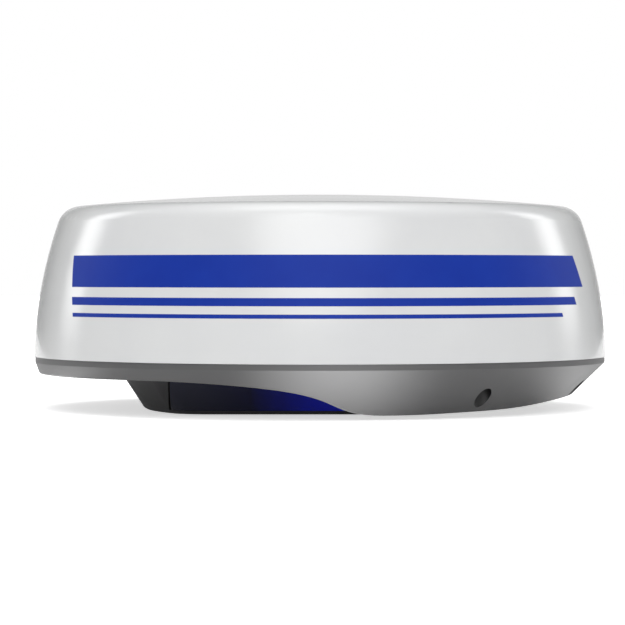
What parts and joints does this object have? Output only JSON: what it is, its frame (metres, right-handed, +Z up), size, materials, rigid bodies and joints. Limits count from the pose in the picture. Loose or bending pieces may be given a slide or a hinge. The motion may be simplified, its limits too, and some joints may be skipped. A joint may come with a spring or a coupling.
{
  "type": "radar dome antenna",
  "caption": "Round white radar dome on a grey base with a swept skirt, closed over a belt-driven rotating antenna array; the cover lifts off for service.",
  "frame": {"origin": "centre of the foot's underside, on the antenna's axis of rotation", "axes": "+Z up along the antenna's axis, -X towards the bow, +X aft, -Y to port and +Y to starboard; the XZ plane is the middle plane"},
  "size_m": [0.6089, 0.609, 0.2263],
  "materials": {
    "radome_gelcoat": "glossy white radome shell",
    "base_grey": "satin grey moulded base",
    "foot_paint": "dark grey powder-coated casting",
    "accent_blue": "deep blue smoked panel",
    "seal_rubber": "soft black seal",
    "stainless": "plain stainless steel",
    "brass_insert": "turned brass",
    "black_nylon": "moulded black nylon",
    "cast_aluminium": "cast, machined where it fits",
    "sheet_aluminium": "brushed folded sheet",
    "bearing_steel": "ground and polished",
    "pulley_plastic": "glass-filled nylon",
    "belt_rubber": "toothed belt",
    "motor_steel": "black motor case",
    "board_green": "solder-masked circuit board",
    "microwave_laminate": "cream microwave laminate",
    "patch_copper": "plated copper",
    "electronic_parts": "moulded components",
    "magnet_nickel": "nickel-plated",
    "lead_jacket": "lead jacket",
    "coax_copper": "bare copper jacket"
  },
  "bodies": {
    "base": {"base_housing": "base_grey", "radome_gasket": "seal_rubber", "cover_screws": "stainless", "cover_screw_washers": "seal_rubber", "cover_screw_clips": "black_nylon", "breather_vent": "black_nylon", "vent_lock_nut": "black_nylon", "foot_block": "foot_paint", "accent_panel_port": "accent_blue", "accent_panel_starboard": "accent_blue", "mount_inserts": "stainless", "foot_screws": "stainless", "power_socket": "black_nylon", "network_socket": "black_nylon", "socket_nuts": "brass_insert", "bearing_housing": "cast_aluminium", "turret_screws": "stainless", "lower_bearing": "bearing_steel", "upper_bearing": "bearing_steel", "heading_sensor": "black_nylon", "motor_body": "motor_steel", "motor_bracket": "sheet_aluminium", "motor_screws": "stainless", "bracket_screws": "stainless", "drive_belt": "belt_rubber", "rotary_joint_stator": "brass_insert", "radio_coax": "coax_copper", "main_board": "board_green", "power_board": "board_green", "main_board_parts": "electronic_parts", "power_board_parts": "electronic_parts", "board_standoffs": "brass_insert", "board_screws": "stainless", "radio_module": "cast_aluminium", "radio_lid": "cast_aluminium", "radio_screws": "stainless", "power_lead": "lead_jacket", "network_lead": "lead_jacket", "motor_lead": "lead_jacket", "lead_clips": "black_nylon"},
    "antenna": {"main_shaft": "stainless", "shaft_retaining_ring": "stainless", "driven_pulley": "pulley_plastic", "pulley_screws": "stainless", "index_magnet": "magnet_nickel", "rotary_joint_rotor": "brass_insert", "rotor_coax": "coax_copper", "array_frame": "sheet_aluminium", "array_end_caps": "black_nylon", "array_panel": "microwave_laminate", "array_patches": "patch_copper", "antenna_carrier": "sheet_aluminium", "carrier_screws": "stainless", "array_screws": "stainless", "feed_board": "board_green"},
    "motor_rotor": {"motor_shaft": "bearing_steel", "drive_pulley": "sheet_aluminium"},
    "radome": {"radome_cover": "radome_gelcoat", "cover_inserts": "brass_insert"}
  },
  "joints": [
    {"name": "antenna_spin", "type": "hinge", "parent": "base", "child": "antenna", "pos_m": [0, 0, 0.08], "axis": [0, 0, 1], "continuous": true},
    {"name": "motor_spin", "type": "hinge", "parent": "base", "child": "motor_rotor", "pos_m": [0.105, 0, 0.08], "axis": [0, 0, 1], "continuous": true},
    {"name": "radome_lift", "type": "slide", "parent": "base", "child": "radome", "axis": [0, 0, 1], "range_m": [0, 0.26]}
  ],
  "couplings": [
    {"joint": "motor_spin", "follows": "antenna_spin", "ratio": 4}
  ]
}
